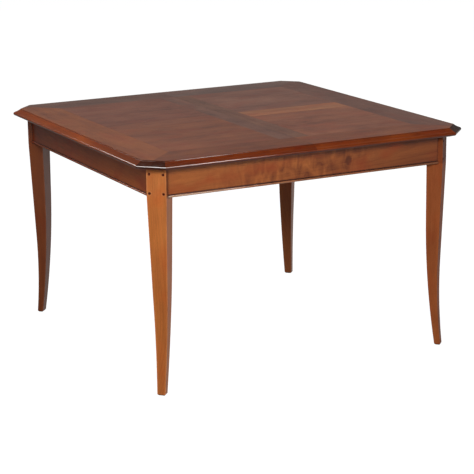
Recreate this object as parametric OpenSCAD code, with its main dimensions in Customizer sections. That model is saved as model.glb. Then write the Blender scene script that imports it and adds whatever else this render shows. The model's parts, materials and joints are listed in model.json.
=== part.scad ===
// Square extending dining table: a fixed frame on four sabre legs and two half tops that slide apart.
// Millimetres, +Z up, origin on the floor under the middle of the table. The front is -Y, the left is -X.

/* [Table] */
// Height of the top face above the floor
table_h = 760; // [720:1:790]
// Side of the square top, over the moulded edge
top_size = 1190; // [1100:1:1300]
// Thickness of the top
top_t = 27; // [25:1:32]
// Length taken off each side of the top at a canted corner
cant_cut = 68; // [56:1:76]
// How far the top reaches past the faces of the aprons
overhang = 56; // [48:1:64]

/* [Edge moulding] */
// Width of the moulding, from its upper edge to the nose
edge_w = 23; // [20:1:28]
// Height of the small step at the upper edge
edge_step_h = 2.5; // [1.5:0.1:3.5]
// Width of the ledge at the foot of that step
edge_step_w = 1.5; // [0.8:0.1:2.5]
// Radius of the rounded nose
nose_r = 6.5; // [5:0.1:8]
// Height of the middle of the nose above the underside
nose_rise = 9.5; // [9:0.1:11]
// Angle at which the nose turns into the hollow above it
nose_turn = 72; // [66:1:76]

/* [Boards of the top] */
// Flat width of the border boards, inside the moulding
border_w = 124; // [100:1:150]
// Width of the stile along the seam
stile_w = 55; // [45:1:70]
// Width of the middle rail
rail_w = 95; // [70:1:120]
// Thickness of the tongues that join the boards
tongue_t = 8; // [6:0.5:10]
// Length of those tongues
tongue_l = 10; // [6:0.5:14]
// Space left at the bottom of a groove or a mortise
groove_gap = 0.5; // [0.3:0.1:1]
// Thickness of the spline in a mitre
spline_t = 4; // [3:0.5:6]
// Width of the spline, across the mitre
spline_w = 30; // [20:1:40]
// Length of the spline, along the mitre
spline_l = 84; // [60:1:90]
// Wood left between the panel groove and the spline
spline_margin = 6; // [4:1:12]

/* [Frame] */
// Height of the aprons
apron_h = 96; // [90:1:110]
// Thickness of the aprons
apron_t = 22; // [20:1:26]
// Radius of the bead along the lower edge
bead_r = 3.75; // [3:0.05:5]
// How far the bead stands out of the apron's face
bead_out = 3; // [2:0.1:3.6]
// Width of the groove above the bead
quirk_w = 2; // [1:0.1:3]
// Depth of that groove
quirk_d = 1.5; // [1:0.1:2.5]
// Thickness of the apron tenons
tenon_t = 10; // [8:0.5:12]
// Length of the apron tenons
tenon_l = 24; // [20:0.5:27]
// Wood over a tenon
tenon_over = 12; // [8:1:14]
// Wood under a tenon
tenon_under = 8; // [5:1:9]

/* [Legs] */
// Width of the outer face, beside the aprons
leg_w = 64.5; // [62:0.5:70]
// Width of the outer face at the middle of the taper
leg_mid_w = 48; // [42:0.5:52]
// Height of the middle of the taper
leg_mid_z = 320; // [250:1:400]
// Width of the foot
foot_w = 27; // [22:0.5:34]
// Depth of the leg from its outer to its inner face, beside the aprons
leg_d = 54; // [51:0.5:60]
// How far the outer face lies inside the corner where the apron faces would meet
leg_setback = 15; // [12:0.5:17]
// Depth of the hollow in the outer face
hollow_d = 12.8; // [8:0.1:15]
// Radius of that hollow
hollow_r = 2000; // [1600:10:2400]
// Height of its deepest point
hollow_z = 230; // [200:1:250]
// Height at which the hollow runs out into a straight line
hollow_end_z = 300; // [290:1:330]
// Radius of the curved inner face
back_r = 2950; // [2600:10:3400]
// Height at which the inner face starts to curve outwards
back_z = 445; // [400:1:460]
// Chamfer round the bottom of the foot
foot_chamfer = 4; // [2:0.5:5]

/* [Leg pegs] */
// Diameter of the pegs
peg_d = 7.5; // [6:0.1:9]
// Length of a peg inside the leg
peg_l = 46; // [38:1:50]
// How far a peg's head stands out
peg_proud = 0.8; // [0.4:0.1:1.5]
// Distance from a peg's middle to the edge of the leg
peg_edge = 9.5; // [8:0.1:11]
// Distance from the top of the frame to the upper pegs
peg_drop = 21; // [19:0.5:24]
// Distance from the bottom of the aprons to the lower pegs
peg_rise = 15; // [13:0.5:20]

/* [Slides] */
// How far each half top slides
travel = 250; // [150:5:280]
// Distance from the inner face of an apron to the middle of the guide beam beside it
beam_inset = 187; // [165:1:230]
// Width of the guide beams
beam_w = 40; // [34:1:46]
// Height of the guide beams
beam_h = 45; // [42:1:50]
// Depth of the housing that holds a beam's end in the apron
housing_d = 6; // [4:0.5:10]
// Width of the runners
runner_w = 25; // [20:1:30]
// Height of the runners
runner_h = 40; // [36:1:41]
// Height of a runner's tongue
slide_tongue_h = 10; // [8:0.5:12]
// Length of a runner's tongue
slide_tongue_l = 8; // [6:0.5:10]
// Distance from the top of the frame to a runner's tongue
slide_tongue_drop = 17; // [14:0.5:20]
// Running clearance between pieces that move on each other
clear = 0.3; // [0.2:0.05:0.5]
// Extra space above the free end of a runner
runner_relief = 0.5; // [0.3:0.1:1]

/* [Cross rail] */
// Width of the cross rail
cross_w = 60; // [50:1:90]
// Thickness of the cross rail
cross_t = 22; // [18:1:28]
// Length of its tenons
cross_tenon_l = 12; // [8:0.5:15]
// Shoulder round its tenons
cross_shoulder = 5; // [3:0.5:7]

/* [Screws] */
// Diameter of a screw's shank
screw_d = 4.5; // [4:0.1:5.5]
// Diameter of a screw's head
screw_head_d = 9; // [8:0.1:10]
// Height of the countersunk head
screw_head_h = 3; // [2:0.1:4]
// Length of a screw
screw_l = 40; // [36:1:44]
// Depth of the holes that sink the heads into the runners
screw_sink = 14; // [10:1:16]
// Distance from a screw to the end of what it holds
screw_margin = 26; // [15:1:32]
// Distance between the two screws in each beam
beam_screw_pitch = 30; // [20:1:40]
// Clearance round pegs and screws
fit = 0.1; // [0.05:0.01:0.15]

/* [Seam] */
// Diameter of the pegs in the seam
seam_peg_d = 10; // [8:0.5:12]
// Length of a seam peg in the right half
seam_peg_in = 25; // [18:1:30]
// Length of a seam peg that stands out of the right half
seam_peg_out = 12; // [8:0.5:16]
// Length of the cone at its tip
seam_peg_tip = 2.5; // [1:0.5:4]
// Distance from the ends of the seam stiles to the outer seam pegs
seam_peg_inset = 48; // [38:1:60]
// Clearance round a seam peg in the left half
seam_peg_clear = 0.25; // [0.15:0.05:0.5]
// Wood between the seam and the stile's tenons
seam_inset = 10; // [8:0.5:14]

/* [Catches] */
// Distance of a catch's pivot from the seam
catch_x = 30; // [26:1:33]
// Distance from a guide beam's middle to the catch's pivot beside it
catch_inset = 150; // [140:1:200]
// Width of a catch's arm
catch_w = 16; // [15:0.5:20]
// Thickness of a catch
catch_t = 2.5; // [2:0.1:3]
// Diameter of its pivot and of the stud that it hooks on
stud_d = 6; // [5:0.1:7]
// Diameter of their heads
stud_head_d = 11; // [10:0.1:13]
// Thickness of their heads
stud_head_t = 2.5; // [2:0.1:3]
// Length of pivot and stud inside the top
stud_l = 14; // [10:1:17]
// Space between the stud and the sides of the catch's notch
notch_clear = 1; // [0.8:0.1:1.5]

/* [Hidden] */

root2 = sqrt(2);
LEFT = -1;
RIGHT = 1;
FRONT = -1;
BACK = 1;

// Heights
under_z = table_h - top_t;
frame_top = under_z - clear;
apron_z = frame_top - apron_h;
tongue_z = under_z + (top_t - tongue_t) / 2;
spline_z = under_z + (top_t - spline_t) / 2;
beam_z = frame_top - beam_h;
runner_z = under_z - runner_h;
slide_tongue_z = frame_top - slide_tongue_drop - slide_tongue_h;
cross_z = beam_z - cross_t;
screw_z = runner_z + screw_sink;

// Plan
top_half = top_size / 2;
frame_half = top_half - overhang;
frame_in = frame_half - apron_t;
field_half = top_half - edge_w - border_w;
seam_half = clear / 2;
groove_l = tongue_l + groove_gap;
cant_dist = (top_size - cant_cut) / root2;
spline_start = (field_half + groove_l) * root2 + spline_margin;
shoulder = leg_w / root2;
tenon_end = frame_half - shoulder - apron_t / 2 + tenon_l;
beam_y = frame_in - beam_inset;
runner_end = frame_in - clear;
runner_held = runner_end - travel;
catch_y = beam_y - catch_inset;

// Leg, with r measured outwards along the diagonal from the corner where the apron faces would meet
outer_r = -leg_setback;
inner_r = outer_r - leg_d;
hollow_low_r = outer_r - hollow_d;
hollow_end_r = hollow_low_r + hollow_r - sqrt(pow(hollow_r, 2) - pow(hollow_end_z - hollow_z, 2));
hollow_slope = (hollow_end_z - hollow_z) / sqrt(pow(hollow_r, 2) - pow(hollow_end_z - hollow_z, 2));
knee_z = hollow_end_z + (outer_r - hollow_end_r) / hollow_slope;
toe_r = hollow_low_r + hollow_r - sqrt(pow(hollow_r, 2) - pow(hollow_z, 2));
heel_r = inner_r + back_r - sqrt(pow(back_r, 2) - pow(back_z, 2));

// Small allowances for cuts that run past a face, and the fineness of round parts
past = 5;
long = 2 * top_size;
fine = 96;
leg_fine = 720;

LEG_COLOUR = [0.63, 0.38, 0.18];
APRON_COLOUR = [0.55, 0.31, 0.15];
BORDER_COLOUR = [0.47, 0.29, 0.21];
PANEL_COLOUR = [0.50, 0.31, 0.24];
STILE_COLOUR = [0.42, 0.27, 0.21];
RUNNER_COLOUR = [0.80, 0.66, 0.46];
PEG_COLOUR = [0.16, 0.09, 0.05];
METAL_COLOUR = [0.62, 0.60, 0.56];

// Helpers
module on_side(side) {
    mirror([side == RIGHT ? 1 : 0, 0, 0]) children();
}

module block(low, high) {
    translate(low) cube(high - low);
}

module round_bar(from, direction, d, h) {
    translate(from) rotate(direction) cylinder(d = d, h = h, $fn = fine);
}

// Edge of the top: x is 0 at the nose and negative inside, y is the height
function nose_point(a) = [nose_r * cos(a) - nose_r, under_z + nose_rise + nose_r * sin(a)];
ledge_point = [edge_step_w - edge_w, table_h - edge_step_h];
turn_point = nose_point(nose_turn);
turn_chord = ledge_point - turn_point;
turn_normal = [cos(nose_turn), sin(nose_turn)];
edge_hollow_r = (turn_chord * turn_chord) / (2 * (turn_normal * turn_chord));
// The hollow is set a little into the nose, so that the two arcs cross instead of only touching
hollow_bite = 0.05;
edge_hollow_middle = turn_point + (edge_hollow_r - hollow_bite) * turn_normal;
nose_foot = nose_rise - nose_r;

module edge_section() {
    difference() {
        union() {
            polygon([
                [-long, under_z], [-2 * nose_r - nose_foot, under_z],
                [-2 * nose_r, under_z + nose_foot], [-nose_r, under_z + nose_foot],
                [-nose_r, under_z + nose_rise], turn_point + past * turn_normal, ledge_point + [past, 0],
                [-edge_w, table_h - edge_step_h], [-edge_w, table_h], [-long, table_h]
            ]);
            translate([-nose_r, under_z + nose_rise]) circle(r = nose_r, $fn = fine);
        }
        translate(edge_hollow_middle) circle(r = edge_hollow_r, $fn = 4 * fine);
    }
}

module edge_prism(angle, distance) {
    rotate([0, 0, angle]) translate([distance, 0, 0]) rotate([90, 0, 0])
        linear_extrude(height = long, center = true) edge_section();
}

module board(outline) {
    translate([0, 0, under_z]) linear_extrude(height = top_t) polygon(outline);
}

module groove(low, high) {
    block([low.x, low.y, tongue_z], [high.x, high.y, tongue_z + tongue_t]);
}

// A plate on the diagonal, in the mitre of the corner at that angle
module spline_at(angle) {
    rotate([0, 0, angle])
        translate([spline_start, -spline_w / 2, spline_z]) cube([spline_l, spline_w, spline_t]);
}

// Half tops, drawn for the left side and mirrored for the right
far = top_half + past;

module end_border(side) {
    on_side(side) difference() {
        intersection() {
            board([[-far, -far], [-field_half, -field_half], [-field_half, field_half], [-far, far]]);
            edge_prism(180, top_half);
            edge_prism(225, cant_dist);
            edge_prism(135, cant_dist);
        }
        groove([-field_half - groove_l, -field_half - groove_l], [past - field_half, field_half + groove_l]);
        spline_at(225);
        spline_at(135);
    }
}

module long_border(side, row) {
    on_side(side) mirror([0, row == BACK ? 1 : 0, 0]) difference() {
        intersection() {
            board([[-far, -far], [-seam_half, -far], [-seam_half, -field_half], [-field_half, -field_half]]);
            edge_prism(270, top_half);
            edge_prism(225, cant_dist);
        }
        groove([-field_half - groove_l, -field_half - groove_l], [-seam_inset, past - field_half]);
        spline_at(225);
    }
}

module seam_stile(side) {
    difference() {
        on_side(side) difference() {
            union() {
                board([
                    [-stile_w, -field_half], [-seam_half, -field_half],
                    [-seam_half, field_half], [-stile_w, field_half]
                ]);
                groove([groove_l - stile_w, -field_half - tongue_l], [-seam_inset, field_half + tongue_l]);
            }
            groove([-stile_w - past, -field_half], [groove_l - stile_w, field_half]);
            for (row = [FRONT, BACK])
                round_bar([-catch_x, row * catch_y, under_z - past], [0, 0, 0], stud_d + 2 * fit,
                    past + stud_l + fit);
        }
        seam_peg_holes();
        runner_screw_holes(side);
    }
}

module middle_rail(side) {
    on_side(side) difference() {
        union() {
            board([
                [-field_half, -rail_w / 2], [-stile_w, -rail_w / 2],
                [-stile_w, rail_w / 2], [-field_half, rail_w / 2]
            ]);
            groove([-field_half - tongue_l, groove_l - rail_w / 2],
                [tongue_l - stile_w, rail_w / 2 - groove_l]);
        }
        for (row = [FRONT, BACK]) mirror([0, row == BACK ? 1 : 0, 0])
            groove([-field_half - past, -rail_w / 2 - past], [past - stile_w, groove_l - rail_w / 2]);
    }
}

module panel(side, row) {
    difference() {
        on_side(side) mirror([0, row == BACK ? 1 : 0, 0]) {
            board([
                [-field_half, -field_half], [-stile_w, -field_half],
                [-stile_w, -rail_w / 2], [-field_half, -rail_w / 2]
            ]);
            groove([-field_half - tongue_l, -field_half - tongue_l],
                [tongue_l - stile_w, tongue_l - rail_w / 2]);
        }
        runner_screw_holes(side);
    }
}

module mitre_splines(side) {
    on_side(side) {
        spline_at(225);
        spline_at(135);
    }
}

// Pegs that line up the half tops: glued into the right half, loose in the left one
SEAM_PEG_PLACES = [-1, 0, 1] * (field_half - seam_peg_inset);
seam_peg_z = under_z + top_t / 2;

module seam_pegs() {
    straight = seam_peg_in + seam_peg_out - seam_peg_tip;
    color(RUNNER_COLOUR) for (y = SEAM_PEG_PLACES)
        translate([seam_peg_in, y, seam_peg_z]) rotate([0, -90, 0]) {
            cylinder(d = seam_peg_d, h = straight, $fn = fine);
            translate([0, 0, straight])
                cylinder(d1 = seam_peg_d, d2 = seam_peg_d - seam_peg_tip, h = seam_peg_tip, $fn = fine);
        }
}

module seam_peg_holes() {
    for (y = SEAM_PEG_PLACES) {
        round_bar([-seam_peg_out - groove_gap, y, seam_peg_z], [0, 90, 0], seam_peg_d + 2 * seam_peg_clear,
            seam_peg_out + groove_gap);
        round_bar([0, y, seam_peg_z], [0, 90, 0], seam_peg_d + 2 * fit, seam_peg_in + fit);
    }
}

// Runners: those of the left half lie outside the beams, those of the right half between them
function runner_middle(side) = beam_y - side * (beam_w / 2 + clear + runner_w / 2);

module runner(side, row) {
    y = row * runner_middle(side);
    to_beam = row * side;
    tongue_y = y + to_beam * (runner_w + slide_tongue_l) / 2;
    color(RUNNER_COLOUR) difference() {
        on_side(side) {
            block([-runner_held, y - runner_w / 2, runner_z], [-seam_half, y + runner_w / 2, under_z]);
            block([-seam_half, y - runner_w / 2, runner_z],
                [runner_end, y + runner_w / 2, under_z - runner_relief]);
            block([-runner_held, tongue_y - slide_tongue_l / 2, slide_tongue_z],
                [runner_end, tongue_y + slide_tongue_l / 2, slide_tongue_z + slide_tongue_h]);
        }
        runner_screw_holes(side);
    }
}

SCREW_PLACES = [runner_held - screw_margin, (runner_held - screw_margin + catch_x) / 2, catch_x];

module at_runner_screws(side) {
    for (x = SCREW_PLACES) for (row = [FRONT, BACK])
        translate([side * x, row * runner_middle(side), screw_z]) children();
}

module screw(gap) {
    cylinder(d1 = screw_head_d + 2 * gap, d2 = screw_d + 2 * gap, h = screw_head_h, $fn = fine);
    cylinder(d = screw_d + 2 * gap, h = screw_l + gap, $fn = fine);
}

module runner_screw_holes(side) {
    at_runner_screws(side) {
        screw(fit);
        translate([0, 0, -screw_sink - past])
            cylinder(d = screw_head_d + 2 * fit, h = screw_sink + past, $fn = fine);
    }
}

module runner_screws(side) {
    color(METAL_COLOUR) at_runner_screws(side) screw(0);
}

// Guide beams and the cross rail under them
module guide_beam(row) {
    color(RUNNER_COLOUR) translate([0, row * beam_y, 0]) difference() {
        block([-frame_in - housing_d, -beam_w / 2, beam_z], [frame_in + housing_d, beam_w / 2, frame_top]);
        for (edge = [FRONT, BACK]) translate([0, edge * beam_w / 2, 0])
            block([-long, -slide_tongue_l, slide_tongue_z - clear],
                [long, slide_tongue_l, slide_tongue_z + slide_tongue_h + clear]);
        translate([0, -row * beam_y, 0]) cross_screw_holes();
    }
}

module at_cross_screws() {
    for (x = [-1, 1] * beam_screw_pitch / 2) for (row = [FRONT, BACK])
        translate([x, row * beam_y, cross_z]) children();
}

module cross_screw_holes() {
    at_cross_screws() screw(fit);
}

module cross_rail_screws() {
    color(METAL_COLOUR) at_cross_screws() screw(0);
}

module cross_tenon(gap) {
    block([cross_shoulder - cross_w / 2, -frame_in - cross_tenon_l - gap, cross_z + cross_shoulder],
        [cross_w / 2 - cross_shoulder, frame_in + cross_tenon_l + gap, cross_z + cross_t - cross_shoulder]);
}

module cross_rail() {
    color(RUNNER_COLOUR) difference() {
        union() {
            block([-cross_w / 2, -frame_in, cross_z], [cross_w / 2, frame_in, cross_z + cross_t]);
            cross_tenon(0);
        }
        cross_screw_holes();
    }
}

// Aprons, drawn at the front. In the section x goes inwards from the face, y is the height
module apron_section() {
    difference() {
        translate([0, apron_z]) square([apron_t, apron_h]);
        translate([-past, apron_z + 2 * bead_r]) square([past + quirk_d, quirk_w]);
        translate([-past, apron_z - past]) square([past + bead_r - bead_out, past + 2 * bead_r]);
    }
    translate([bead_r - bead_out, apron_z + bead_r]) circle(r = bead_r, $fn = fine);
}

module tenon_bar(gap) {
    block([-tenon_end - gap, apron_t / 2 - frame_half - tenon_t / 2, apron_z + tenon_under],
        [tenon_end + gap, apron_t / 2 - frame_half + tenon_t / 2, frame_top - tenon_over]);
}

module apron_blank() {
    outer = frame_half - shoulder + past;
    inner = frame_half - shoulder - apron_t;
    intersection() {
        linear_extrude(height = table_h)
            polygon([
                [-outer, -frame_half - past], [outer, -frame_half - past],
                [inner, -frame_in], [-inner, -frame_in]
            ]);
        translate([-top_half, -frame_half, 0]) rotate([90, 0, 90])
            linear_extrude(height = top_size) apron_section();
    }
}

module long_apron() {
    color(APRON_COLOUR) difference() {
        union() {
            apron_blank();
            tenon_bar(0);
        }
        all_peg_holes();
        cross_tenon(groove_gap);
    }
}

module end_apron() {
    color(APRON_COLOUR) difference() {
        union() {
            apron_blank();
            tenon_bar(0);
        }
        all_peg_holes();
        for (x = [-beam_y, beam_y])
            block([x - beam_w / 2, -frame_in - housing_d, beam_z],
                [x + beam_w / 2, past - frame_in, frame_top + past]);
    }
}

// Legs: x is r along the diagonal, y is across the outer face
module leg_side_section() {
    intersection() {
        difference() {
            polygon([
                [heel_r + foot_chamfer, 0], [toe_r - foot_chamfer, 0],
                [toe_r + past, foot_chamfer + past], [toe_r + past, hollow_end_z],
                [hollow_end_r, hollow_end_z], [outer_r, knee_z], [outer_r, frame_top],
                [inner_r, frame_top], [inner_r, foot_chamfer + heel_r - inner_r]
            ]);
            translate([hollow_low_r + hollow_r, hollow_z]) circle(r = hollow_r, $fn = leg_fine);
        }
        union() {
            translate([inner_r, back_z]) square([leg_d + past, table_h]);
            translate([inner_r + back_r, back_z]) circle(r = back_r, $fn = leg_fine);
        }
    }
}

module leg_front_section() {
    half = [
        [foot_w / 2 - foot_chamfer, 0], [foot_w / 2, foot_chamfer], [leg_mid_w / 2, leg_mid_z],
        [leg_w / 2, apron_z], [leg_w / 2, frame_top]
    ];
    polygon(concat(half, [for (i = [len(half) - 1:-1:0]) [-half[i].x, half[i].y]]));
}

module leg_shape() {
    intersection() {
        rotate([90, 0, 0]) linear_extrude(height = leg_w, center = true) leg_side_section();
        translate([inner_r - past, 0, 0]) rotate([90, 0, 90])
            linear_extrude(height = leg_d + 3 * past) leg_front_section();
    }
}

module at_corner(x_side, y_side) {
    translate([x_side * frame_half, y_side * frame_half, 0]) rotate([0, 0, atan2(y_side, x_side)]) children();
}

PEG_HEIGHTS = [frame_top - peg_drop, apron_z + peg_rise];

module peg_bars(d, inside) {
    for (x_side = [LEFT, RIGHT]) for (y_side = [FRONT, BACK]) at_corner(x_side, y_side)
        for (y = [-1, 1] * (leg_w / 2 - peg_edge)) for (z = PEG_HEIGHTS)
            round_bar([outer_r + peg_proud, y, z], [0, -90, 0], d, peg_proud + inside);
}

module all_peg_holes() {
    peg_bars(peg_d + 2 * fit, peg_l + fit);
}

module leg_pegs() {
    color(PEG_COLOUR) peg_bars(peg_d, peg_l);
}

module leg(x_side, y_side) {
    color(LEG_COLOUR) difference() {
        at_corner(x_side, y_side) leg_shape();
        rotate([0, 0, y_side == FRONT ? 0 : 180]) tenon_bar(groove_gap);
        rotate([0, 0, x_side == RIGHT ? 90 : 270]) tenon_bar(groove_gap);
        all_peg_holes();
    }
}

// Catches under the seam, drawn for the back one: open, with the arm along the seam
module stud() {
    color(METAL_COLOUR) {
        translate([0, 0, under_z - 2 * clear - catch_t - stud_head_t])
            cylinder(d = stud_head_d, h = stud_head_t, $fn = fine);
        translate([0, 0, under_z - 2 * clear - catch_t])
            cylinder(d = stud_d, h = 2 * clear + catch_t + stud_l, $fn = fine);
    }
}

module catch_studs(side) {
    for (row = [FRONT, BACK]) translate([side * catch_x, row * catch_y, 0]) stud();
}

module catch(row) {
    reach = 2 * catch_x;
    slot = stud_d + 2 * notch_clear;
    color(METAL_COLOUR) mirror([0, row == FRONT ? 1 : 0, 0])
        translate([-catch_x, catch_y, under_z - clear - catch_t]) linear_extrude(height = catch_t)
            difference() {
                union() {
                    circle(d = catch_w, $fn = fine);
                    translate([-catch_w / 2, 0]) square([catch_w, reach]);
                    translate([0, reach]) circle(d = catch_w, $fn = fine);
                }
                circle(d = stud_d + 2 * clear, $fn = fine);
                translate([0, reach]) circle(d = slot, $fn = fine);
                translate([0, reach - slot / 2]) square([catch_w, slot]);
            }
}

module left_end_border() { color(BORDER_COLOUR) end_border(LEFT); }
module left_front_border() { color(BORDER_COLOUR) long_border(LEFT, FRONT); }
module left_back_border() { color(BORDER_COLOUR) long_border(LEFT, BACK); }
module left_seam_stile() { color(STILE_COLOUR) seam_stile(LEFT); }
module left_middle_rail() { color(BORDER_COLOUR) middle_rail(LEFT); }
module left_front_panel() { color(PANEL_COLOUR) panel(LEFT, FRONT); }
module left_back_panel() { color(PANEL_COLOUR) panel(LEFT, BACK); }
module left_mitre_splines() { color(RUNNER_COLOUR) mitre_splines(LEFT); }
module right_end_border() { color(BORDER_COLOUR) end_border(RIGHT); }
module right_front_border() { color(BORDER_COLOUR) long_border(RIGHT, FRONT); }
module right_back_border() { color(BORDER_COLOUR) long_border(RIGHT, BACK); }
module right_seam_stile() { color(STILE_COLOUR) seam_stile(RIGHT); }
module right_middle_rail() { color(BORDER_COLOUR) middle_rail(RIGHT); }
module right_front_panel() { color(PANEL_COLOUR) panel(RIGHT, FRONT); }
module right_back_panel() { color(PANEL_COLOUR) panel(RIGHT, BACK); }
module right_mitre_splines() { color(RUNNER_COLOUR) mitre_splines(RIGHT); }

leg(LEFT, FRONT);  // leg_front_left
leg(RIGHT, FRONT);  // leg_front_right
leg(LEFT, BACK);  // leg_back_left
leg(RIGHT, BACK);  // leg_back_right
long_apron();  // apron_front
rotate([0, 0, 180]) long_apron();  // apron_back
rotate([0, 0, 270]) end_apron();  // apron_left
rotate([0, 0, 90]) end_apron();  // apron_right
leg_pegs();
guide_beam(FRONT);  // guide_beam_front
guide_beam(BACK);  // guide_beam_back
cross_rail();
cross_rail_screws();
left_end_border();
left_front_border();
left_back_border();
left_seam_stile();
left_middle_rail();
left_front_panel();
left_back_panel();
left_mitre_splines();
runner(LEFT, FRONT);  // left_runner_front
runner(LEFT, BACK);  // left_runner_back
runner_screws(LEFT);  // left_runner_screws
catch_studs(LEFT);  // left_catch_pivots
right_end_border();
right_front_border();
right_back_border();
right_seam_stile();
right_middle_rail();
right_front_panel();
right_back_panel();
right_mitre_splines();
runner(RIGHT, FRONT);  // right_runner_front
runner(RIGHT, BACK);  // right_runner_back
runner_screws(RIGHT);  // right_runner_screws
catch_studs(RIGHT);  // right_catch_studs
seam_pegs();
catch(FRONT);  // catch_front
catch(BACK);  // catch_back
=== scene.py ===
"""Looks of a square extending dining table in cherry, built round its packed construction.

Metres, +Z up, the origin on the floor under the middle of the table. The front is -Y and the left is -X.
Each visible piece is an eased copy of its solid and has a board of procedural wood of its own, or steel.
"""

import json
import math
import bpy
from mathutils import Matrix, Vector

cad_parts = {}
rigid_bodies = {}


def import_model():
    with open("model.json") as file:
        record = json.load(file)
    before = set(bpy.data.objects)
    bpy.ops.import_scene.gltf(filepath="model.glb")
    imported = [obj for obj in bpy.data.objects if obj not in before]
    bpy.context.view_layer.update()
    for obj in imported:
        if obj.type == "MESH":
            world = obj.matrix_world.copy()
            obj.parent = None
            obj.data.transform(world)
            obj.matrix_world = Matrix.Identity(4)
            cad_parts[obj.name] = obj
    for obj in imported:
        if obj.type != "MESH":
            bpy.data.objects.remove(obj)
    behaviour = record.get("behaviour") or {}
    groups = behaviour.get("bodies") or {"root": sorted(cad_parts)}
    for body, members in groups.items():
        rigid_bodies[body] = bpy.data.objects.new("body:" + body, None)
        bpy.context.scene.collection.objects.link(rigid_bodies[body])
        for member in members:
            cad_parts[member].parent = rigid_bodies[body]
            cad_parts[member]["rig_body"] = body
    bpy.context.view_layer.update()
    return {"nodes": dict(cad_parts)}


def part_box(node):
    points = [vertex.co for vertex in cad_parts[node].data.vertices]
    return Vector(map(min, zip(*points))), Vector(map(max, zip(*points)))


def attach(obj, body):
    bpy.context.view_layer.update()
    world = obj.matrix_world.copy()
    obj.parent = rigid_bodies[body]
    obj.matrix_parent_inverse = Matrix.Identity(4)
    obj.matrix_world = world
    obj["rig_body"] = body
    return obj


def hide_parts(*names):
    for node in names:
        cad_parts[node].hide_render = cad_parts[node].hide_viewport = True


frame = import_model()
from types import SimpleNamespace

import bmesh
import bpy
from mathutils import Quaternion, Vector

X, Y, Z = Vector((1, 0, 0)), Vector((0, 1, 0)), Vector((0, 0, 1))
SIDES = {"left": -1, "right": 1, "front": -1, "back": 1}
MM = 0.001

# Camera, fitted to the outline of the table in the photograph
SENSOR = 36
LENS = 127.6
CLIP = (0.1, 200)
CAMERA_TARGET = Vector((0.0213, 0, 0.3266))
CAMERA_DISTANCE = 5.902
CAMERA_AZIMUTH = -27.48
CAMERA_ELEVATION = 14.46
CAMERA_ROLL = -0.685

# Floor, whose glow is also how bright the camera sees the surroundings
FLOOR_REACH = 60
FLOOR_GLOW = 0.98
FLOOR_GREYS = (0.20, 0.22)
FLOOR_ROUGHNESS = 0.9

# Surroundings: the light from below the horizon, from left to right, that from above it, and their tint
FLOOR_LIGHT = (0.08, 0.6)
FLOOR_LIGHT_SPAN = (-0.5, 0.9)
HORIZON = (-0.12, 0.06)
SKY_LIGHT = 0.1
WORLD_TINT = (1.0, 0.97, 0.94)

# Edges sharper than this are arrises, and each is eased by this much
ARRIS_ANGLE = math.radians(25)
LEG_EASE = 2.6 * MM
PEG_EASE = 0.5 * MM
APRON_EASE = 0.4 * MM
TOP_EASE = 0.3 * MM
INSIDE_EASE = 0.4 * MM
STEEL_EASE = 0.2 * MM
LEG_SEGMENTS = 3
ROUND_PROFILE = 0.5

# Points nearer than this are one, faces flatter than this are one, and edges blunter than this look smooth
WELD = 1e-6
FLAT_ANGLE = math.radians(0.2)
SMOOTH_ANGLE = math.radians(50)

# Legs: the height of the foot's edges, and how squarely a face looks out or sideways and an edge runs upward
FOOT_EDGE = 6 * MM
SQUARE = 0.85
UPWARD = 0.5

# Top: the height of the foot of the quirk, within this much, and how nearly an edge runs along a board
QUIRK_FOOT = 757.5 * MM
QUIRK_FOOT_REACH = 0.4 * MM
STRAIGHT = 0.99

# The moulding's sides run at multiples of this angle in plan. The lines of its mitres turn this far off them,
# and this part of their length at least is level
SIDE_TURN = 45
MITRE_TURN = (8, 37)
MITRE_LEVEL = 0.3

# Noises of the wood: swings in a metre along the grain, across it and into the board, then detail, roughness
# and distortion
WANDER_NOISE = ((2.2, 7, 7), 2, 0.5)
STREAK_NOISE = ((1.6, 34, 34), 3, 0.6)
BAND_NOISE = ((0.9, 9, 9), 2, 0.5)
FIBRE_NOISE = ((14, 620, 620), 3, 0.65)
CLOUD_NOISE = ((7, 11, 11), 3, 0.55, 0.4)
PORE_NOISE = ((90, 2400, 2400), 1, 0.5)
CURL_NOISE = ((30, 14, 14), 2, 0.5, 1.2)
RED_NOISE = ((8, 15, 15), 2, 0.5)
FILM_NOISE = ((16, 16, 16), 2, 0.5)

# The same for the spacing of the rings, with swings in a year, and for the steel and the floor, with swings
# in a metre along x, y and z
RING_NOISE = ((0.35, 1, 1), 1, 0.5)
STEEL_CLOUD_NOISE = ((180, 180, 180), 3, 0.6)
STEEL_MARK_NOISE = ((300, 300, 4200), 2, 0.5)
FLOOR_NOISE = ((1, 1, 1), 2, 0.5)

# How far apart in the noises two boards lie whose seeds differ by one, and how far off the red patches lie
SEED_STEP = (1.7, 2.3, 3.1)
RED_STEP = (5, 5, 5)

# Growth rings: how far the grain wanders sideways and how much of it the rings follow, how many years the
# spacing is uneven by, how late in the year the wood darkens, and where its sharp end begins
WANDER = 0.03
RING_WANDER = 0.6
UNEVEN_YEARS = 1.6
LATE_POWER = 3.0
LATE_END = 0.93

# How pale plain wood is, from 0 to 1, and the share of each part of the figure
PLAIN_SHADE = 0.53
LATE_SHARE = 0.10
STREAK_SHARE = 0.5
BAND_SHARE = 0.35
FIBRE_SHARE = 0.30
CLOUD_SHARE = 0.30
MOTTLE_FEWER_STREAKS = 0.3
MOTTLE_MORE_CLOUDS = 0.4

# Inner part of the curl's reach and of the knot's that has it in full, how flat the knot is and how dark
FULL_PART = 0.3
KNOT_FLATNESS = 0.8
KNOT_DEPTH = 0.9

# What is left of the red, green and blue of a board's colour, from its darkest place to its palest
SHADES = (
    (0.05, (0.42, 0.33, 0.32)),
    (0.33, (0.78, 0.72, 0.70)),
    (0.55, (1.03, 1.03, 1.0)),
    (0.95, (1.45, 1.62, 1.6)),
)

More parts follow.
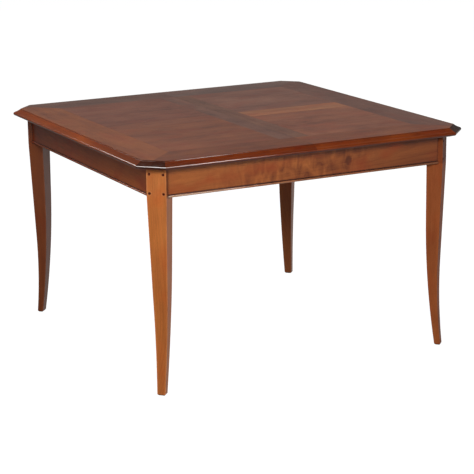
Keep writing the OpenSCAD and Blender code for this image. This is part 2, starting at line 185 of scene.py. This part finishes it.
# The same for pores, old polish and painted shade, for red patches, for rubbed arrises with a painted
# highlight, for end grain, and for the painted highlight on an apron's bead
DARK = (0.22, 0.16, 0.16)
RED = (1.05, 0.62, 0.45)
RUBBED_AND_HIGHLIT = (1.35, 1.6, 2.4)
END_GRAIN = (0.12, 0.1, 0.16)
BEAD_HIGHLIGHT = (1.45, 3.2, 9.5)

# Noise at which red patches and pores begin and are full, and how dark the pores are
RED_RANGE = (0.5, 0.68)
PORE_RANGE = (0.62, 0.72)
PORE_COVER = 0.35

# Hands rub what lies this near to an arris, where the wood behind it is less open, and a highlight is painted
# along it there too. The rubbing and the painted highlight are full at the first openness and end at the
# second, and from a thin cloud to a thick one this much of them comes through
RUBBED_AND_HIGHLIT_REACH = 5 * MM
RUBBED_AND_HIGHLIT_OPEN = (0.6, 0.95)
RUBBED_AND_HIGHLIT_CLOUDS = (0.35, 0.6)
RUBBED_AND_HIGHLIT_COVER = (0.45, 0.95)

# Old polish and painted shade darken what lies this near to a corner, in full at the first openness and not
# at the second
CORNER_REACH = 6 * MM
CORNER_OPEN = (0.76, 1.0)

# How dark end grain is, at most
END_COVER = 0.92

# A face of a top is darker where it looks up less than this, in full and at all
DARKER_EDGE_TURN = (0.93, 0.99)

# The quirk under a top's arris, which is painted dark: where it begins and is full, above the middle of the
# board's thickness, how little its faces look up where they are dark in full and at all, and how dark they
# are
QUIRK = (10.4 * MM, 11.0 * MM)
QUIRK_TURN = (0.2, 0.6)
QUIRK_COVER = 0.95

# The same for faces of a top that look down, which are painted with shade
UNDER_TURN = (-0.5, 0.0)
UNDER_SHADE = 0.85

# Height of the lower edge of the aprons above a leg's middle, the way that the leg's face with painted shade
# looks, and how squarely it looks there where the painted shade begins and where it is full
JOINED_ABOVE = (270 * MM, 274 * MM)
AWAY = Vector((1, -1, 0)).normalized()
AWAY_TURN = (0.85, 0.97)

# The painted highlight on the bead of an apron, from the apron's middle: the bead's top, where along the
# apron the highlight fades, and the part of it that is left then
BEAD_TOP = (-42.0 * MM, -41.0 * MM)
BEAD_HIGHLIGHT_FADE = (-460 * MM, -200 * MM)
BEAD_HIGHLIGHT_FAR = 0.3

# The painted shade in the groove above the bead: its middle, its reach from there in full and in all, and how
# dark it is
GROOVE_MIDDLE = -38.8 * MM
GROOVE_REACH = (0.8 * MM, 2.2 * MM)
GROOVE_SHADE = 0.95

# Lacquer: its film and its coat, how much rougher film, pores and rubbing make it, and how they stand out
WOOD_IOR = 1.33
COAT_IOR = 1.4
COAT_ROUGHNESS = 0.12
FILM_GLOSS, PORE_GLOSS, RUBBED_GLOSS = 0.16, 0.15, 0.12
FIBRE_RELIEF, PORE_RELIEF, FILM_RELIEF = 0.5, 0.8, 0.8
WOOD_BUMP = {"Strength": 0.35, "Distance": 0.08 * MM}

# Zinc-plated steel, from a thin cloud to a thick one
STEEL_CLOUDS = (0.3, 0.7)
STEEL_GREYS = ((120, 118, 112), (176, 173, 164))
STEEL_ROUGHNESS = (0.28, 0.5)
STEEL_BUMP = {"Strength": 0.25, "Distance": 0.05 * MM}
STEEL_METAL = 0.6

# The look of a plain board. Each board's own look says where it differs
PLAIN_BOARD = {
    # Width of a year's growth
    "ring": 4 * MM,
    # Place of the pith, across the board and into it, from its middle
    "pith": (0.05, -0.09),
    # How much the board tilts against the pith, which draws the long arches of flat-sawn wood
    "slope": 0.05,
    # Strength of the figure
    "contrast": 1.0,
    # How much of the figure is clouds in place of streaks
    "mottle": 0.0,
    # How much paler the board gets in a metre along it: painted light and shade on the legs and the left
    # apron, and a change of tone along the front apron
    "fade": 0.0,
    # How red its red patches are
    "blush": 0.4,
    # A flamed figure: its place along the board, its reach and its strength
    "curl": None,
    # A small knot: its place along the board and across it, and its size
    "knot": None,
    # How pale the arrises of a leg are rubbed, with a painted highlight along them
    "rub": 0.0,
    # How dark the old polish and painted shade in the corners are
    "patina": 0.9,
    # How far a face turns to the grain where end grain begins to show, and where it is full
    "ends": (0.5, 0.8),
    # How dark the painted shade is on a leg's face to the front and right below the aprons and beside them,
    # and on the whole leg beside them
    "turned_away": None,
    # How pale the painted highlight on the bead of an apron is
    "bead": 0.0,
    # What the darker edge of a top keeps of the colour
    "moulding": None,
    # Where along the board painted shade darkens that edge, where it no longer does, and how dark
    "dull": None,
    # Roughness of the lacquer, its specular level, and the weight of its coat
    "gloss": 0.35,
    "specular": 0.5,
    "coat": 0.3,
}

# Legs are painted paler towards the top, where more light falls
LEG_LOOK = {
    "ring": 3.5 * MM, "pith": (0.04, -0.12), "slope": 0.02, "contrast": 1.1, "fade": 0.08,
    "rub": 0.9, "patina": 1.0, "gloss": 0.45, "specular": 0.5, "coat": 0.4,
}
# Row, side, seed, colour, and how the look differs
LEGS = (
    ("front", "left", 2, (216, 125, 60), {"turned_away": (0.3, 0.8, 0.0), "specular": 0.25}),
    # The front right leg is painted darker towards its top, in the shade of the table top
    ("front", "right", 4, (190, 104, 58), {
        "turned_away": (0.5, 0.8, 0.35), "fade": -0.15, "specular": 0.15, "coat": 0.0, "rub": 0.1,
    }),
    ("back", "left", 4, (143, 73, 35), {"turned_away": (0.65, 0.65, 0.0)}),
    ("back", "right", 6, (164, 93, 50), {"turned_away": (0.35, 0.35, 0.0)}),
)

PEG = (96, 36, 12)
PEG_LOOK = {"contrast": 1.2, "gloss": 0.6, "specular": 0.1, "coat": 0.0}
PEG_SEED = 9

APRON_LOOK = {
    "ring": 4.5 * MM, "pith": (0.02, -0.10), "slope": 0.03, "contrast": 1.3, "blush": 0.7,
    "patina": 1.0, "gloss": 0.42, "specular": 0.2, "coat": 0.7,
}
# Node, the way of its grain, colour, and how the look differs
APRONS = (
    ("apron_front", X, (172, 92, 40), {
        "fade": -0.42, "curl": (-0.06, 0.36, 1.7), "knot": (0.149, 0.003, 0.017), "bead": 1.0,
    }),
    ("apron_back", X, (164, 88, 40), {}),
    # The left apron is painted darker towards the back, where less light reaches
    ("apron_left", Y, (160, 76, 29), {"fade": -0.65}),
    ("apron_right", Y, (156, 84, 38), {}),
)
APRON_SEED = 11

TOP_LOOK = {
    "ring": 5 * MM, "slope": 0.06, "contrast": 1.6, "mottle": 0.6, "patina": 1.0, "ends": (0.06, 0.18),
    "moulding": (0.77, 0.48, 0.1), "specular": 0.1, "coat": 0.95,
}
# Part of a half top, the way of its grain, and its material slot
TOP_PARTS = (
    ("end_border", Y, "cherry_border"),
    ("front_border", X, "cherry_border"),
    ("back_border", X, "cherry_border"),
    ("seam_stile", Y, "cherry_stile"),
    ("middle_rail", X, "cherry_border"),
    ("front_panel", X, "cherry_panel"),
    ("back_panel", X, "cherry_panel"),
)
# Each board's colour. The greyer, bluer ones, such as the right back border, hold a painted sheen
TOPS = {
    "left_end_border": (170, 91, 43),
    "left_front_border": (148, 75, 34),
    "left_back_border": (132, 88, 73),
    "left_seam_stile": (151, 98, 78),
    "left_middle_rail": (161, 90, 58),
    "left_front_panel": (160, 87, 51),
    "left_back_panel": (153, 86, 61),
    "right_end_border": (143, 90, 72),
    "right_front_border": (162, 87, 50),
    "right_back_border": (143, 106, 94),
    "right_seam_stile": (144, 91, 68),
    "right_middle_rail": (202, 127, 82),
    "right_front_panel": (176, 102, 69),
    "right_back_panel": (160, 100, 78),
}
# How the looks of two borders differ at the corner nearest to the camera: a paler edge on one, and painted
# shade on the edge near the corner on both
NEAR_BORDERS = {
    "left_end_border": {"moulding": (0.88, 0.62, 0.32), "dull": (-0.40, -0.08, 0.5)},
    "left_front_border": {"dull": (-0.225, -0.175, 0.35)},
}
TOP_SEEDS = (("left", 20), ("right", 28))
# The pith of a top's board lies below it, in one of three places across it, and deeper in each part
PITH_ACROSS = 0.03
PITH_PLACES = 3
PITH_DEPTH = -0.07
PITH_DEEPER = -0.01

BEECH = (196, 158, 110)
BEECH_LOOK = {"ring": 3 * MM, "pith": (0.06, -0.05), "contrast": 0.45, "gloss": 0.55, "coat": 0.0}
BEECH_SEED = 40
# Node, and the way of its grain
INSIDE = (
    ("guide_beam_front", X), ("guide_beam_back", X), ("cross_rail", Y),
    ("left_runner_front", X), ("left_runner_back", X), ("right_runner_front", X), ("right_runner_back", X),
    ("left_mitre_splines", X), ("right_mitre_splines", X), ("seam_pegs", X),
)
STEEL = (
    "cross_rail_screws", "left_runner_screws", "right_runner_screws", "left_catch_pivots",
    "right_catch_studs", "catch_front", "catch_back",
)


def linear(colour):
    """The scene's colour for an 8-bit sRGB one."""
    parts = [c / 255 for c in colour]
    return [p / 12.92 if p <= 0.04045 else ((p + 0.055) / 1.055) ** 2.4 for p in parts]


class Graph:
    """The node tree of one material or world, built by calls that take numbers or sockets."""

    def __init__(self, owner):
        owner.use_nodes = True
        self.owner = owner
        self.tree = owner.node_tree
        self.tree.nodes.clear()

    def node(self, kind, inputs=(), **settings):
        made = self.tree.nodes.new("ShaderNode" + kind)
        for key, value in settings.items():
            setattr(made, key, value)
        for key, value in dict(inputs).items():
            if isinstance(value, bpy.types.NodeSocket):
                self.tree.links.new(value, made.inputs[key])
            else:
                made.inputs[key].default_value = value
        return made

    def math(self, operation, *values):
        return self.node("Math", enumerate(values), operation=operation).outputs[0]

    def add(self, a, b):
        return self.math("ADD", a, b)

    def subtract(self, a, b):
        return self.math("SUBTRACT", a, b)

    def multiply(self, a, b):
        return self.math("MULTIPLY", a, b)

    def swing(self, value, reach):
        """A noise's swing to either side of its mean, times a reach."""
        return self.multiply(self.subtract(value, 0.5), reach)

    def vector(self, operation, *values):
        return self.node("VectorMath", enumerate(values), operation=operation).outputs[0]

    def dot(self, a, b):
        return self.node("VectorMath", {0: a, 1: b}, operation="DOT_PRODUCT").outputs["Value"]

    def length(self, a):
        return self.node("VectorMath", {0: a}, operation="LENGTH").outputs["Value"]

    def point(self, x, y, z):
        return self.node("CombineXYZ", {0: x, 1: y, 2: z}).outputs[0]

    def noise(self, place, rate, detail, roughness, distortion=0.0):
        values = {
            "Vector": self.vector("MULTIPLY", place, rate), "Scale": 1.0,
            "Detail": detail, "Roughness": roughness, "Distortion": distortion,
        }
        return self.node("TexNoise", values).outputs[0]

    def spread(self, value, low, high, to_low=0.0, to_high=1.0):
        return self.node("MapRange", {0: value, 1: low, 2: high, 3: to_low, 4: to_high}).outputs[0]

    def mix(self, factor, a, b, blend="MIX"):
        return self.node("Mix", {0: factor, 6: a, 7: b}, data_type="RGBA", blend_type=blend).outputs[2]

    def ramp(self, value, stops):
        made = self.node("ValToRGB", {0: value})
        elements = made.color_ramp.elements
        while len(elements) < len(stops):
            elements.new(1.0)
        for element, (place, colour) in zip(elements, stops):
            element.position = place
            element.color = (*colour, 1)
        return made.outputs[0]

    def openness(self, reach, **settings):
        return self.node("AmbientOcclusion", {"Distance": reach}, **settings).outputs["AO"]

    def bump(self, height, strength):
        return self.node("Bump", {**strength, "Height": height}).outputs[0]

    def surface(self, inputs):
        shader = self.node("BsdfPrincipled", inputs)
        self.node("OutputMaterial", {"Surface": shader.outputs[0]})
        return self.owner


class Board:
    """A board's material in the making.

    U, v and w are the places along its grain, across it and into it, from the middle of the board.
    """

    def __init__(self, name, node, base, along, across, seed, look):
        self.graph = g = Graph(bpy.data.materials.new(name))
        self.look = SimpleNamespace(**{**PLAIN_BOARD, **look})
        self.base = linear(base)
        self.along = along
        self.seed = seed
        self.here = g.vector("SUBTRACT", g.node("TexCoord").outputs["Object"], middle_of(node))
        self.u, self.v, self.w = (g.dot(self.here, way) for way in (along, across, along.cross(across)))
        self.grain = g.vector("ADD", g.point(self.u, self.v, self.w), [seed * step for step in SEED_STEP])
        self.turned = g.node("NewGeometry").outputs["True Normal"]
        self.upright = g.dot(self.turned, Z)
        self.dark = self.tint(DARK)

    def tint(self, share):
        """The board's colour with that share of its red, green and blue."""
        return (*(part * kept for part, kept in zip(self.base, share)), 1)

    def cover(self, factor, colour, blend="MIX"):
        self.colour = self.graph.mix(factor, self.colour, colour, blend)


def draw_figure(board):
    """The noises of the figure, drawn out along a grain that wanders slowly from side to side."""
    g = board.graph
    board.wander = g.swing(g.noise(board.grain, *WANDER_NOISE), WANDER)
    drawn = g.vector("ADD", board.grain, g.point(0.0, board.wander, board.wander))
    board.streak = g.noise(drawn, *STREAK_NOISE)
    board.band = g.noise(drawn, *BAND_NOISE)
    board.fibre = g.noise(drawn, *FIBRE_NOISE)
    board.cloud = g.noise(board.grain, *CLOUD_NOISE)
    board.pores = g.spread(g.noise(drawn, *PORE_NOISE), *PORE_RANGE)


def late_wood(board):
    """The dark end of each year, in rings that lie round the pith."""
    g, look = board.graph, board.look
    aside = g.add(g.subtract(board.v, look.pith[0]), board.wander)
    below = g.add(g.subtract(board.w, look.pith[1]), g.multiply(board.u, look.slope))
    radius = g.add(g.length(g.point(0.0, aside, below)), g.multiply(board.wander, RING_WANDER))
    radius = g.math("DIVIDE", radius, look.ring)
    uneven = g.noise(g.point(radius, board.seed, 0.0), *RING_NOISE)
    year = g.math("FRACT", g.add(radius, g.multiply(uneven, UNEVEN_YEARS)))
    return g.multiply(g.math("POWER", year, LATE_POWER), g.spread(year, LATE_END, 1.0, 1.0, 0.0))


def curl_of(board):
    """What the flamed figure adds to the paleness."""
    g = board.graph
    place, reach, strength = board.look.curl
    waves = g.noise(board.grain, *CURL_NOISE)
    away = g.math("ABSOLUTE", g.subtract(board.u, place))
    return g.swing(waves, g.spread(away, reach * FULL_PART, reach, strength, 0.0))


def knot_of(board):
    """What the knot takes from the paleness."""
    g = board.graph
    along, across, size = board.look.knot
    apart = g.point(g.subtract(board.u, along), g.multiply(g.subtract(board.v, across), KNOT_FLATNESS), 0.0)
    ragged = g.add(g.length(apart), g.swing(board.streak, size))
    return g.spread(ragged, FULL_PART * size, size, KNOT_DEPTH, 0.0)


def paleness(board):
    """How pale each place is, from 0 to 1."""
    g, look = board.graph, board.look
    shade = g.subtract(PLAIN_SHADE, g.multiply(late_wood(board), LATE_SHARE * look.contrast))
    parts = (
        (board.streak, STREAK_SHARE - MOTTLE_FEWER_STREAKS * look.mottle),
        (board.band, BAND_SHARE),
        (board.fibre, FIBRE_SHARE),
        (board.cloud, CLOUD_SHARE + MOTTLE_MORE_CLOUDS * look.mottle),
    )
    for value, share in parts:
        shade = g.add(shade, g.swing(value, share * look.contrast))
    if look.fade:
        # Gradient along the board: painted light on legs and the left apron, tone on the front apron
        shade = g.add(shade, g.multiply(board.u, look.fade))
    if look.curl:
        shade = g.add(shade, curl_of(board))
    if look.knot:
        shade = g.subtract(shade, knot_of(board))
    return shade


def paint_wood(board):
    """The stained wood itself, with its red patches and its pores."""
    g = board.graph
    board.colour = g.ramp(paleness(board), [(place, board.tint(share)[:3]) for place, share in SHADES])
    patches = g.noise(g.vector("ADD", board.grain, RED_STEP), *RED_NOISE)
    board.cover(g.spread(patches, *RED_RANGE, 0.0, board.look.blush), board.tint(RED))
    board.cover(g.multiply(board.pores, PORE_COVER), board.dark)


def wear_and_highlight_of(board):
    """How worn each place is, and where a highlight is painted along the arrises: on a leg where little wood
    lies behind it, and else where the mesh says so.
    """
    g = board.graph
    if board.look.rub:
        behind = g.openness(RUBBED_AND_HIGHLIT_REACH, samples=6, inside=True, only_local=True)
        return g.spread(behind, *RUBBED_AND_HIGHLIT_OPEN, board.look.rub, 0.0)
    return g.node("Attribute", attribute_name="wear_and_highlight").outputs["Fac"]


def paint_rubbed_and_highlit_arrises(board):
    """Hands rub the arrises pale and a highlight is painted along them, here more and there less."""
    g = board.graph
    # Paler arrises: rubbed wear and a painted highlight along them
    board.rubbed = g.multiply(wear_and_highlight_of(board), g.spread(board.cloud, *RUBBED_AND_HIGHLIT_CLOUDS, *RUBBED_AND_HIGHLIT_COVER))
    board.cover(board.rubbed, board.tint(RUBBED_AND_HIGHLIT))


def darken_moulding(board):
    """The edge of a top is darker where it looks up less, and on two borders painted shade darkens the edge
    at one end.
    """
    g, look = board.graph, board.look
    darker_edge = g.spread(board.upright, *DARKER_EDGE_TURN, 1.0, 0.0)
    # The edge that looks up less is made darker
    board.cover(darker_edge, (*look.moulding, 1), "MULTIPLY")
    if look.dull:
        start, end, depth = look.dull
        # Painted shade on the edge towards one end
        board.cover(g.multiply(darker_edge, g.spread(board.u, start, end, depth, 0.0)), board.dark)


def darken_ends(board):
    """End grain drinks the stain."""
    g = board.graph
    turned = g.math("ABSOLUTE", g.dot(board.turned, board.along))
    board.cover(g.spread(turned, *board.look.ends, 0.0, END_COVER), board.tint(END_GRAIN))


def paint_leg_shade(board):
    """Painted shade darkens a leg's face to the front and right, and may darken all of the leg beside the
    aprons.
    """
    g = board.graph
    below, beside, others = board.look.turned_away
    joined = g.spread(board.u, *JOINED_ABOVE)
    # Painted shade on the whole leg beside the aprons
    board.cover(g.multiply(joined, others), board.dark)
    away = g.spread(g.dot(board.turned, AWAY), *AWAY_TURN)
    # Painted shade on the face to the front and right
    board.cover(g.multiply(away, g.spread(joined, 0, 1, below, beside)), board.dark)


def paint_bead_highlight(board):
    """A highlight is painted on the bead of an apron, paler towards one end, and painted shade lies in the
    groove above it.
    """
    g, bead = board.graph, board.look.bead
    fading = g.spread(board.u, *BEAD_HIGHLIGHT_FADE, bead, bead * BEAD_HIGHLIGHT_FAR)
    # Painted highlight on the bead
    board.cover(g.multiply(g.spread(board.v, *BEAD_TOP, 1.0, 0.0), fading), board.tint(BEAD_HIGHLIGHT))
    off_groove = g.math("ABSOLUTE", g.subtract(board.v, GROOVE_MIDDLE))
    # Painted shade in the groove
    board.cover(g.spread(off_groove, *GROOVE_REACH, GROOVE_SHADE, 0.0), board.dark)


def darken_quirk_and_shade_undersides(board):
    """The quirk of the moulding is painted dark, and what looks down is painted with shade."""
    g = board.graph
    # The quirk is painted dark
    high = g.spread(g.dot(board.here, Z), *QUIRK, 0.0, QUIRK_COVER)
    board.cover(g.multiply(high, g.spread(board.upright, *QUIRK_TURN, 1.0, 0.0)), board.dark)
    # Painted shade on faces that look down
    board.cover(g.spread(board.upright, *UNDER_TURN, UNDER_SHADE, 0.0), board.dark)


def darken_corners_with_polish_and_shade(board):
    """Old polish gathers in the corners, and painted shade darkens them where they are closed in."""
    g = board.graph
    # Ambient occlusion darkens the corners: old polish and painted shade
    closed = g.spread(g.openness(CORNER_REACH, samples=8), *CORNER_OPEN, 1.0, 0.0)
    board.cover(g.multiply(closed, board.look.patina), board.dark)


def lacquer(board):
    """The finished material: a lacquer film over fibres and pores."""
    g, look = board.graph, board.look
    film = g.noise(board.grain, *FILM_NOISE)
    roughness = g.add(look.gloss, g.swing(film, FILM_GLOSS))
    roughness = g.add(roughness, g.multiply(board.pores, PORE_GLOSS))
    roughness = g.add(roughness, g.multiply(board.rubbed, RUBBED_GLOSS))
    relief = g.subtract(g.multiply(board.fibre, FIBRE_RELIEF), g.multiply(board.pores, PORE_RELIEF))
    relief = g.add(relief, g.multiply(film, FILM_RELIEF))
    return g.surface({
        "Base Color": board.colour, "Roughness": roughness, "Normal": g.bump(relief, WOOD_BUMP),
        "IOR": WOOD_IOR, "Specular IOR Level": look.specular,
        "Coat Weight": look.coat, "Coat Roughness": COAT_ROUGHNESS, "Coat IOR": COAT_IOR,
    })


def wood(name, node, base, along, across, seed, look):
    """A lacquered board's material.

    Base is its mean colour, along and across are the ways of its grain and of its width, and look holds what
    differs from PLAIN_BOARD.
    """
    board = Board(name, node, base, along, across, seed, look)
    draw_figure(board)
    paint_wood(board)
    paint_rubbed_and_highlit_arrises(board)
    if board.look.moulding:
        darken_moulding(board)
    darken_ends(board)
    if board.look.turned_away:
        paint_leg_shade(board)
    if board.look.bead:
        paint_bead_highlight(board)
    if board.look.moulding:
        darken_quirk_and_shade_undersides(board)
    darken_corners_with_polish_and_shade(board)
    return lacquer(board)


def steel(name):
    """Zinc-plated steel with fine turning marks."""
    g = Graph(bpy.data.materials.new(name))
    here = g.node("TexCoord").outputs["Object"]
    cloud = g.noise(here, *STEEL_CLOUD_NOISE)
    marks = g.noise(here, *STEEL_MARK_NOISE)
    colour = g.ramp(cloud, [(place, linear(grey)) for place, grey in zip(STEEL_CLOUDS, STEEL_GREYS)])
    return g.surface({
        "Base Color": colour, "Roughness": g.spread(cloud, *STEEL_CLOUDS, *STEEL_ROUGHNESS),
        "Normal": g.bump(marks, STEEL_BUMP), "Metallic": STEEL_METAL,
    })


def round_arrises(solid, width, chosen, segments):
    """A solid's shape with its arrises rounded, with how worn each point is, which also sets where a
    highlight is painted, in an attribute.
    """
    shape = bmesh.new()
    shape.from_mesh(solid.data)
    bmesh.ops.remove_doubles(shape, verts=shape.verts, dist=WELD)
    bmesh.ops.dissolve_limit(shape, angle_limit=FLAT_ANGLE, verts=shape.verts, edges=shape.edges)
    sharp = [edge for edge in shape.edges if edge.is_manifold and edge.calc_face_angle() > ARRIS_ANGLE]
    arrises = [edge for edge in sharp if chosen is None or chosen(edge)]
    worn = shape.verts.layers.float.new("wear_and_highlight")
    made = bmesh.ops.bevel(
        shape, geom=arrises, offset=width, offset_type="OFFSET", segments=segments, profile=ROUND_PROFILE,
        affect="EDGES", clamp_overlap=True,
    )
    new_faces = set(made["faces"])
    for vert in made["verts"]:
        vert[worn] = 1.0 if all(face in new_faces for face in vert.link_faces) else 0.0
    return shape


def eased(node, width, chosen, segments):
    """A copy of a node's solid with rounded arrises, which rides where the solid does and takes its place."""
    solid = frame["nodes"][node]
    shape = round_arrises(solid, width, chosen, segments)
    mesh = bpy.data.meshes.new(node + "_eased")
    shape.to_mesh(mesh)
    shape.free()
    mesh.shade_smooth()
    mesh.set_sharp_from_angle(angle=SMOOTH_ANGLE)
    piece = bpy.data.objects.new(node + "_eased", mesh)
    bpy.context.scene.collection.objects.link(piece)
    even = piece.modifiers.new("even_normals", "WEIGHTED_NORMAL")
    even.keep_sharp = True
    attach(piece, solid["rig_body"])
    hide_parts(node)
    return piece


def dress(node, width, material, chosen=None, segments=2):
    """Puts an eased piece with that material in a node's place."""
    piece = eased(node, width, chosen, segments)
    piece.data.materials.clear()
    piece.data.materials.append(material)
    return piece


def middle_of(node):
    low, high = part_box(node)
    return (low + high) / 2


def across_flat(along):
    """The way across a board that lies flat."""
    return Y if along is X else X


def leg_arris(edge):
    """True for the four long corners of a leg and the edges round its foot."""
    start, end = (vert.co for vert in edge.verts)
    middle, line = (start + end) / 2, start - end
    if middle.z < FOOT_EDGE:
        return True
    corner = Vector((math.copysign(1, middle.x), math.copysign(1, middle.y), 0)).normalized()
    side = Z.cross(corner)
    normals = [face.normal for face in edge.link_faces]
    faces_out = any(abs(normal.dot(corner)) > SQUARE for normal in normals)
    faces_side = any(abs(normal.dot(side)) > SQUARE for normal in normals)
    return faces_out and faces_side and abs(line.z) > UPWARD * line.length


def top_arris(edge):
    """True for all edges of a top board but the straight ones at the foot of the quirk, which stay crisp."""
    start, end = (vert.co for vert in edge.verts)
    line = (start - end).normalized()
    straight = max(abs(line.x), abs(line.y)) > STRAIGHT
    return not (straight and abs((start.z + end.z) / 2 - QUIRK_FOOT) < QUIRK_FOOT_REACH)


def sharpen_mitres(mesh):
    """Keeps the lines crisp on which the moulding turns a corner, halfway between the ways of its sides."""
    for edge in mesh.edges:
        start, end = (mesh.vertices[vertex].co for vertex in edge.vertices)
        line = end - start
        turn = math.degrees(math.atan2(line.y, line.x)) % SIDE_TURN
        if MITRE_TURN[0] < turn < MITRE_TURN[1] and line.xy.length > MITRE_LEVEL * line.length:
            edge.use_edge_sharp = True


def make_legs():
    for row, side, seed, colour, differs in LEGS:
        node = f"leg_{row}_{side}"
        corner = Vector((SIDES[side], SIDES[row], 0)).normalized()
        look = {**LEG_LOOK, **differs}
        material = wood(node + "_cherry", node, colour, Z, Z.cross(corner), seed, look)
        dress(node, LEG_EASE, material, leg_arris, LEG_SEGMENTS)
    pegs = wood("peg_wood", "leg_pegs", PEG, Z, X, PEG_SEED, PEG_LOOK)
    dress("leg_pegs", PEG_EASE, pegs)


def make_aprons():
    for seed, (node, along, colour, differs) in enumerate(APRONS, APRON_SEED):
        material = wood(node + "_cherry", node, colour, along, Z, seed, {**APRON_LOOK, **differs})
        dress(node, APRON_EASE, material)


def top_look(node, part_at):
    across = PITH_ACROSS * (part_at % PITH_PLACES - 1)
    pith = (across, PITH_DEPTH + PITH_DEEPER * part_at)
    return {**TOP_LOOK, "pith": pith, **NEAR_BORDERS.get(node, {})}


def make_tops():
    for side, first_seed in TOP_SEEDS:
        for part_at, (part, along, slot) in enumerate(TOP_PARTS):
            node = f"{side}_{part}"
            seed, look = first_seed + part_at, top_look(node, part_at)
            material = wood(node + "_cherry", node, TOPS[node], along, across_flat(along), seed, look)
            piece = dress(node, TOP_EASE, material, top_arris)
            sharpen_mitres(piece.data)


def make_inside():
    for seed, (node, along) in enumerate(INSIDE, BEECH_SEED):
        material = wood(node + "_beech", node, BEECH, along, across_flat(along), seed, BEECH_LOOK)
        dress(node, INSIDE_EASE, material)
    metal = steel("plated_steel")
    for node in STEEL:
        dress(node, STEEL_EASE, metal)


def floor_material():
    """Pale grey with a glow of its own."""
    g = Graph(bpy.data.materials.new("pale_floor"))
    here = g.node("TexCoord").outputs["Object"]
    greys = [(place, (grey, grey, grey)) for place, grey in enumerate(FLOOR_GREYS)]
    return g.surface({
        "Base Color": g.ramp(g.noise(here, *FLOOR_NOISE), greys), "Roughness": FLOOR_ROUGHNESS,
        "Specular IOR Level": 0.0, "Emission Color": (1, 1, 1, 1), "Emission Strength": FLOOR_GLOW,
    })


def make_floor():
    """A floor that only the camera sees, so that the table's light comes from above."""
    mesh = bpy.data.meshes.new("floor")
    corners = [(x * FLOOR_REACH, y * FLOOR_REACH, 0) for x, y in ((-1, -1), (1, -1), (1, 1), (-1, 1))]
    mesh.from_pydata(corners, [], [(0, 1, 2, 3)])
    mesh.materials.append(floor_material())
    floor = bpy.data.objects.new("floor", mesh)
    floor.visible_diffuse = floor.visible_glossy = floor.visible_shadow = False
    bpy.context.scene.collection.objects.link(floor)


def make_world():
    """Dim above the horizon, and below it a floor that is brighter on the right. The camera sees it white."""
    world = bpy.data.worlds.new("studio")
    bpy.context.scene.world = world
    g = Graph(world)
    way = g.node("SeparateXYZ", {0: g.node("TexCoord").outputs["Generated"]}).outputs
    floor_light = g.spread(way["X"], *FLOOR_LIGHT_SPAN, *FLOOR_LIGHT)
    light = g.spread(way["Z"], *HORIZON, floor_light, SKY_LIGHT)
    seen = g.node("LightPath").outputs["Is Camera Ray"]
    tints = {place: g.spread(seen, 0.0, 1.0, part, 1.0) for place, part in enumerate(WORLD_TINT)}
    tint = g.node("CombineColor", tints).outputs[0]
    strength = g.spread(seen, 0.0, 1.0, light, FLOOR_GLOW)
    background = g.node("Background", {"Color": tint, "Strength": strength})
    g.node("OutputWorld", {"Surface": background.outputs[0]})


def softbox(name, place, target, width, height, power, fills=True, shines=True):
    """An area light. One that fills lights matt colour, and one that shines is mirrored in the polish."""
    data = bpy.data.lights.new(name, "AREA")
    data.shape = "RECTANGLE"
    data.size, data.size_y = width, height
    data.energy = power
    lamp = bpy.data.objects.new(name, data)
    lamp.visible_diffuse, lamp.visible_glossy = fills, shines
    bpy.context.scene.collection.objects.link(lamp)
    lamp.location = place
    lamp.rotation_mode = "QUATERNION"
    lamp.rotation_quaternion = (Vector(target) - Vector(place)).to_track_quat("-Z", "Y")


def make_light():
    softbox("key", (-1.2, -2.9, 1.77), (-0.4, -0.5, 0.55), 0.8, 0.5, 34)
    softbox("near_left", (-2.3, -1.5, 1.35), (-0.5, -0.5, 0.7), 0.5, 0.7, 6, shines=False)
    softbox("overhead", (0.0, 0.0, 5.1), (0, 0, 0), 2.6, 2.6, 34, shines=False)
    softbox("left_back", (-2.76, 1.59, 3.78), (0, 0, 0.6), 2.6, 2.0, 60)
    softbox("right_back", (3.9, 1.4, 2.2), (0, 0, 0.6), 2.6, 2.0, 36, shines=False)
    softbox("back", (2.1, 3.9, 1.6), (0, 0, 0.76), 4.0, 1.2, 0.5)
    softbox("shine_left", (-1.7, 2.3, 1.85), (-0.59, -0.3, 0.74), 0.6, 0.6, 12, fills=False)
    softbox("shine_corner", (-2.0, -1.35, 1.45), (-0.5, -0.5, 0.7), 0.45, 1.1, 54, fills=False)
    softbox("shine_arris", (0.37, 1.6, 2.64), (-0.55, -0.55, 0.76), 0.4, 0.4, 7, fills=False)
    softbox("shine_front", (0.98, -3.3, 1.5), (-0.4, -0.5, 0.7), 0.45, 1.7, 58, fills=False)


def make_camera():
    data = bpy.data.cameras.new("camera")
    data.sensor_width = SENSOR
    data.lens = LENS
    data.clip_start, data.clip_end = CLIP
    camera = bpy.data.objects.new("camera", data)
    bpy.context.scene.collection.objects.link(camera)
    azimuth, elevation = math.radians(CAMERA_AZIMUTH), math.radians(CAMERA_ELEVATION)
    level = math.cos(elevation)
    back = Vector((math.sin(azimuth) * level, -math.cos(azimuth) * level, math.sin(elevation)))
    camera.location = CAMERA_TARGET + back * CAMERA_DISTANCE
    camera.rotation_mode = "QUATERNION"
    roll = Quaternion(Z, math.radians(CAMERA_ROLL))
    camera.rotation_quaternion = (-back).to_track_quat("-Z", "Y") @ roll
    bpy.context.scene.camera = camera
    bpy.context.scene.view_settings.view_transform = "Standard"


make_legs()
make_aprons()
make_tops()
make_inside()
make_floor()
make_world()
make_light()
make_camera()
